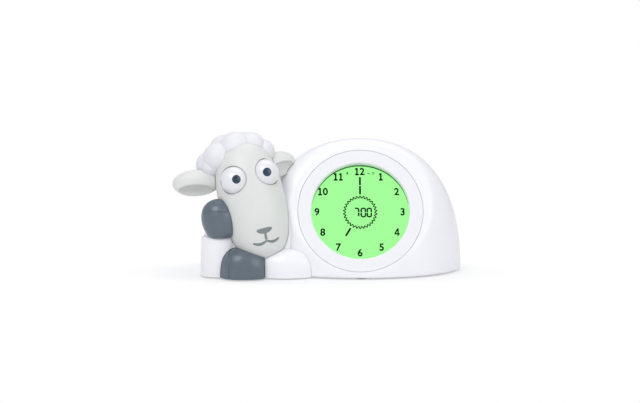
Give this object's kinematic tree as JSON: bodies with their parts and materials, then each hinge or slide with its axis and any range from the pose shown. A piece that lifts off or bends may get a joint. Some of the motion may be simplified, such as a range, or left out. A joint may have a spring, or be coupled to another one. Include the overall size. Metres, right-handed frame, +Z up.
{
  "type": "kids alarm clock",
  "caption": "White kids alarm clock and night light shaped as a lamb lying on its arms, with a round backlit dial in its side and rolling eyes.",
  "frame": {"origin": "middle of the footprint, on the table the feet stand on", "axes": "+X to the viewer's right along the clock, +Y from the dial to the back, +Z up"},
  "size_m": [0.2417, 0.082, 0.1187],
  "materials": {
    "white_shell": "satin",
    "face_grey": "satin",
    "hoof_grey": "gloss",
    "eye_white": "gloss",
    "pupil_navy": "gloss",
    "window_clear": "clear",
    "lcd_green": "satin",
    "guide_clear": "satin",
    "inner_black": "matte",
    "inner_white": "matte",
    "board_green": "satin",
    "chip_black": "matte",
    "steel": "brushed",
    "can_metal": "satin",
    "ribbon_tan": "satin",
    "wheel_pom": "satin",
    "rubber_grey": "matte",
    "foam_black": "matte"
  },
  "bodies": {
    "housing": {"front_shell": "white_shell", "rear_shell": "white_shell", "base_plate": "white_shell", "feet": "rubber_grey", "joining_screws": "steel", "base_screws": "steel", "bezel_ring": "white_shell", "dial_window": "window_clear", "lcd_panel": "lcd_green", "light_guide": "guide_clear", "led_strip": "inner_white", "display_frame": "inner_black", "main_board": "board_green", "clock_chip": "chip_black", "board_parts": "can_metal", "lcd_ribbon": "ribbon_tan", "battery_tray": "inner_white", "battery_contacts": "steel", "speaker": "chip_black", "speaker_gasket": "foam_black", "usb_board": "board_green", "usb_socket": "can_metal", "tact_switches": "chip_black", "slide_switch": "can_metal", "key_board": "board_green", "inner_screws": "steel", "arm_shell": "white_shell", "lower_hoof": "hoof_grey", "upper_hoof": "hoof_grey", "face_shell": "face_grey", "head_back": "white_shell", "head_screws": "steel", "wool_cap": "white_shell", "ear_left": "face_grey", "ear_right": "face_grey", "eye_pin": "steel", "idler_pin": "steel", "eye_motor": "can_metal", "eye_bracket": "inner_white"},
    "eye_left": {"eye_white_left": "eye_white", "pupil_left": "pupil_navy", "eye_lid_left": "face_grey"},
    "eye_right": {"eye_white_right": "eye_white", "pupil_right": "pupil_navy", "eye_lid_right": "face_grey"},
    "idler_left": {"idler_left": "wheel_pom"},
    "idler_right": {"idler_right": "wheel_pom"},
    "drive": {"motor_shaft": "steel", "pinion_left": "wheel_pom", "pinion_right": "wheel_pom"},
    "door": {"battery_door": "white_shell", "door_screw": "steel"},
    "lock": {"lock_slider": "hoof_grey"},
    "key_set": {"key_set": "white_shell"},
    "key_hour": {"key_hour": "white_shell"},
    "key_minute": {"key_minute": "white_shell"},
    "key_alarm": {"key_alarm": "white_shell"},
    "key_light": {"key_light": "white_shell"},
    "key_sound": {"key_sound": "white_shell"}
  },
  "joints": [
    {"name": "eye_left_roll", "type": "hinge", "parent": "housing", "child": "eye_left", "pos_m": [-0.05508, -0.02589, 0.08375], "axis": [0.9491, 0.2419, 0.2017], "range_deg": [0, 150]},
    {"name": "eye_right_roll", "type": "hinge", "parent": "housing", "child": "eye_right", "pos_m": [-0.05508, -0.02589, 0.08375], "axis": [0.9491, 0.2419, 0.2017], "range_deg": [0, 150]},
    {"name": "idler_left_spin", "type": "hinge", "parent": "housing", "child": "idler_left", "pos_m": [-0.05689, -0.01726, 0.08193], "axis": [0.9491, 0.2419, 0.2017], "range_deg": [-120, 0]},
    {"name": "idler_right_spin", "type": "hinge", "parent": "housing", "child": "idler_right", "pos_m": [-0.05689, -0.01726, 0.08193], "axis": [0.9491, 0.2419, 0.2017], "range_deg": [-120, 0]},
    {"name": "drive_spin", "type": "hinge", "parent": "housing", "child": "drive", "pos_m": [-0.05861, -0.00912, 0.08021], "axis": [0.9491, 0.2419, 0.2017], "range_deg": [0, 171.44]},
    {"name": "door_lift", "type": "slide", "parent": "housing", "child": "door", "axis": [0, 0.9903, 0.1392], "range_m": [0, 0.03]},
    {"name": "lock_slide", "type": "slide", "parent": "housing", "child": "lock", "axis": [1, 0, 0], "range_m": [0, 0.004]},
    {"name": "key_set_press", "type": "slide", "parent": "housing", "child": "key_set", "axis": [0, -0.9903, -0.1392], "range_m": [0, 0.0008], "stiffness_N_per_m": 900, "springref_m": -0.0004},
    {"name": "key_hour_press", "type": "slide", "parent": "housing", "child": "key_hour", "axis": [0, -0.9903, -0.1392], "range_m": [0, 0.0008], "stiffness_N_per_m": 900, "springref_m": -0.0004},
    {"name": "key_minute_press", "type": "slide", "parent": "housing", "child": "key_minute", "axis": [0, -0.9903, -0.1392], "range_m": [0, 0.0008], "stiffness_N_per_m": 900, "springref_m": -0.0004},
    {"name": "key_alarm_press", "type": "slide", "parent": "housing", "child": "key_alarm", "axis": [0, -0.9903, -0.1392], "range_m": [0, 0.0008], "stiffness_N_per_m": 900, "springref_m": -0.0004},
    {"name": "key_light_press", "type": "slide", "parent": "housing", "child": "key_light", "axis": [0, -0.9903, -0.1392], "range_m": [0, 0.0008], "stiffness_N_per_m": 900, "springref_m": -0.0004},
    {"name": "key_sound_press", "type": "slide", "parent": "housing", "child": "key_sound", "axis": [0, -0.9903, -0.1392], "range_m": [0, 0.0008], "stiffness_N_per_m": 900, "springref_m": -0.0004}
  ],
  "couplings": [
    {"joint": "eye_right_roll", "follows": "eye_left_roll", "ratio": 1},
    {"joint": "idler_left_spin", "follows": "eye_left_roll", "ratio": -0.8},
    {"joint": "idler_right_spin", "follows": "eye_left_roll", "ratio": -0.8},
    {"joint": "drive_spin", "follows": "eye_left_roll", "ratio": 1.1429}
  ]
}
